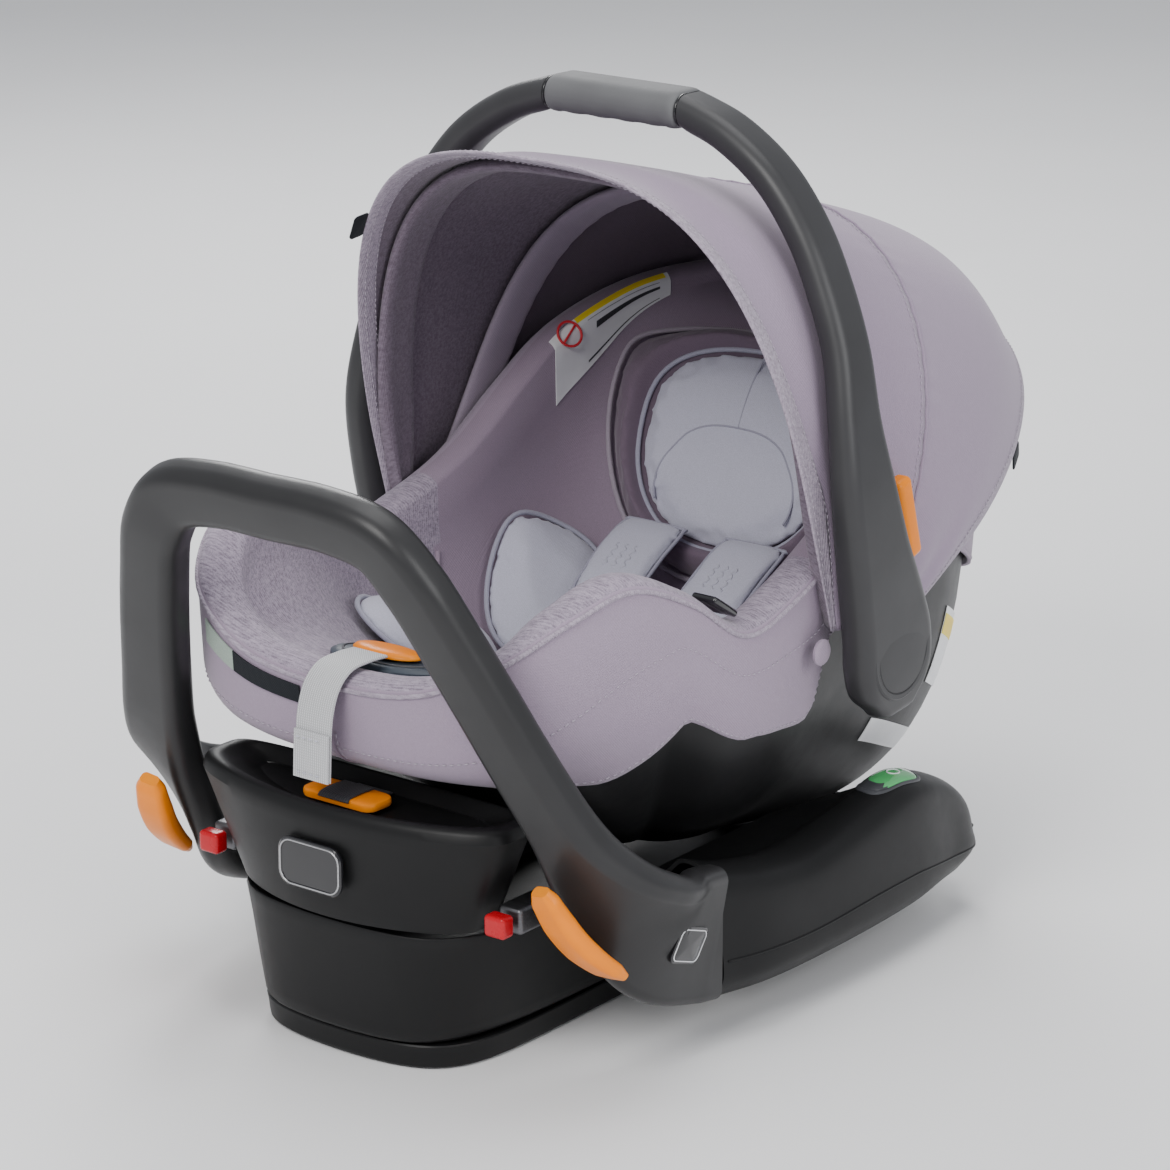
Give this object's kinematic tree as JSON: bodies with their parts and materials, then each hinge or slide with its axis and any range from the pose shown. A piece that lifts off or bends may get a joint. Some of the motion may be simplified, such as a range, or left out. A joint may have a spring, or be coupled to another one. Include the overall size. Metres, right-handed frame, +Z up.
{
  "type": "infant car seat",
  "caption": "Rear-facing infant carrier with a swinging handle, folding canopy and padded harnessed seat, latched onto a vehicle base with an anti-rebound bar.",
  "frame": {"origin": "on the underside of the base's rear pad, on the symmetry plane", "axes": "+X across the seat's width, -Y towards the foot end and the anti-rebound bar, +Y towards the head end, +Z up"},
  "size_m": [0.449, 0.7822, 0.6012],
  "materials": {
    "base_plastic": "satin",
    "bar_plastic": "satin",
    "rubber": "matte",
    "steel": "satin",
    "gloss_black": "gloss",
    "level_green": "gloss",
    "dark_metal": "satin",
    "red": "gloss",
    "webbing": "woven",
    "dark_webbing": "woven",
    "orange": "satin",
    "shell_plastic": "satin",
    "foam": "matte",
    "cover_fabric": "woven",
    "surround_fabric": "woven",
    "pillow_fabric": "brushed",
    "slate": "satin",
    "canopy_fabric": "woven",
    "handle_plastic": "satin",
    "grip_rubber": "matte"
  },
  "bodies": {
    "base": {"base_tray": "base_plastic", "base_front_cover": "base_plastic", "base_side_left": "base_plastic", "base_side_right": "base_plastic", "anti_rebound_bar": "bar_plastic", "base_rear_pad": "rubber", "latch_bar": "steel", "front_badge": "gloss_black", "level_window_left": "level_green", "level_window_right": "level_green", "anchor_connector_left": "dark_metal", "anchor_connector_right": "dark_metal", "anchor_strap_left": "webbing", "anchor_strap_right": "webbing"},
    "recline_foot": {"recline_foot": "base_plastic"},
    "belt_lockoff_left": {"belt_lockoff_left": "orange"},
    "belt_lockoff_right": {"belt_lockoff_right": "orange"},
    "anchor_button_left": {"anchor_button_left": "red"},
    "anchor_button_right": {"anchor_button_right": "red"},
    "cinch": {"cinch_tab": "orange", "cinch_strap": "dark_webbing"},
    "carrier": {"carrier_shell": "shell_plastic", "foam_liner": "foam", "seat_cover": "cover_fabric", "head_surround": "surround_fabric", "head_pillow": "pillow_fabric", "hip_pad_left": "pillow_fabric", "hip_pad_right": "pillow_fabric", "thigh_pad_left": "pillow_fabric", "thigh_pad_right": "pillow_fabric", "harness_strap_left": "dark_webbing", "harness_strap_right": "dark_webbing", "harness_pad_left": "pillow_fabric", "harness_pad_right": "pillow_fabric", "chest_clip": "gloss_black", "harness_buckle": "gloss_black", "crotch_strap": "dark_webbing", "adjuster_housing": "slate", "splitter_plate": "steel", "belt_guide_left": "gloss_black", "belt_guide_right": "gloss_black", "handle_pivot_left": "shell_plastic", "handle_pivot_right": "shell_plastic", "canopy_pivot_left": "handle_plastic", "canopy_pivot_right": "handle_plastic", "canopy_rear_rim": "steel"},
    "buckle_button": {"buckle_button": "red"},
    "adjuster_lever": {"adjuster_lever": "orange"},
    "adjuster_strap": {"adjuster_strap": "webbing"},
    "handle": {"handle_bar": "handle_plastic", "handle_grip": "grip_rubber"},
    "handle_lever_left": {"handle_lever_left": "orange"},
    "handle_lever_right": {"handle_lever_right": "orange"},
    "canopy_mid": {"canopy_mid_bow": "handle_plastic", "canopy_rear_panel": "canopy_fabric"},
    "canopy_front": {"canopy_front_bow": "handle_plastic", "canopy_front_panel": "canopy_fabric"},
    "release_handle": {"release_handle": "handle_plastic"},
    "latch_hook": {"latch_hook": "steel"}
  },
  "joints": [
    {"name": "recline_slide", "type": "slide", "parent": "base", "child": "recline_foot", "axis": [0, 0, -1], "range_m": [0, 0.045]},
    {"name": "lockoff_hinge_left", "type": "hinge", "parent": "base", "child": "belt_lockoff_left", "pos_m": [0.168, -0.338, 0.1515], "axis": [-0.9695, 0.1493, -0.1944], "range_deg": [0, 50]},
    {"name": "lockoff_hinge_right", "type": "hinge", "parent": "base", "child": "belt_lockoff_right", "pos_m": [-0.168, -0.338, 0.1515], "axis": [-0.9695, -0.1493, 0.1944], "range_deg": [0, 50]},
    {"name": "anchor_button_press_left", "type": "slide", "parent": "base", "child": "anchor_button_left", "axis": [0, 1, 0], "range_m": [0, 0.003], "stiffness_N_per_m": 600},
    {"name": "anchor_button_press_right", "type": "slide", "parent": "base", "child": "anchor_button_right", "axis": [0, 1, 0], "range_m": [0, 0.003], "stiffness_N_per_m": 600},
    {"name": "cinch_pull", "type": "slide", "parent": "base", "child": "cinch", "axis": [0, -0.8988, 0.4384], "range_m": [0, 0.035]},
    {"name": "carrier_lift", "type": "slide", "parent": "base", "child": "carrier", "axis": [0, 0, 1], "range_m": [0, 0.3]},
    {"name": "buckle_press", "type": "slide", "parent": "carrier", "child": "buckle_button", "axis": [0, 0, -1], "range_m": [0, 0.003], "stiffness_N_per_m": 800},
    {"name": "adjuster_press", "type": "hinge", "parent": "carrier", "child": "adjuster_lever", "pos_m": [0, -0.274, 0.264], "axis": [1, 0, 0], "range_deg": [-20, 0], "stiffness_Nm_per_rad": 0.5},
    {"name": "adjuster_pull", "type": "slide", "parent": "carrier", "child": "adjuster_strap", "axis": [0, -1, 0], "range_m": [0, 0.06]},
    {"name": "handle_swing", "type": "hinge", "parent": "carrier", "child": "handle", "pos_m": [0, -0.012, 0.235], "axis": [1, 0, 0], "range_deg": [-40, 55]},
    {"name": "handle_lever_press_left", "type": "slide", "parent": "handle", "child": "handle_lever_left", "axis": [0, -0.9613, -0.2756], "range_m": [0, 0.003], "stiffness_N_per_m": 800},
    {"name": "handle_lever_press_right", "type": "slide", "parent": "handle", "child": "handle_lever_right", "axis": [0, -0.9613, -0.2756], "range_m": [0, 0.003], "stiffness_N_per_m": 800},
    {"name": "canopy_front_fold", "type": "hinge", "parent": "canopy_mid", "child": "canopy_front", "pos_m": [0, -0.065, 0.255], "axis": [1, 0, 0], "range_deg": [-26, 0], "deforming": ["canopy_front_panel"]},
    {"name": "canopy_mid_fold", "type": "hinge", "parent": "carrier", "child": "canopy_mid", "pos_m": [0, -0.065, 0.255], "axis": [1, 0, 0], "range_deg": [-5, 0], "deforming": ["canopy_rear_panel"]},
    {"name": "release_pull", "type": "slide", "parent": "carrier", "child": "release_handle", "axis": [0, 0, 1], "range_m": [-0.015, 0]},
    {"name": "latch_turn", "type": "hinge", "parent": "carrier", "child": "latch_hook", "pos_m": [0, 0.112, 0.0415], "axis": [1, 0, 0], "range_deg": [-22.1, 0]}
  ],
  "couplings": [
    {"joint": "canopy_mid_fold", "follows": "canopy_front_fold", "ratio": 0.1923},
    {"joint": "latch_turn", "follows": "release_pull", "rad_per_m": 25.598}
  ]
}
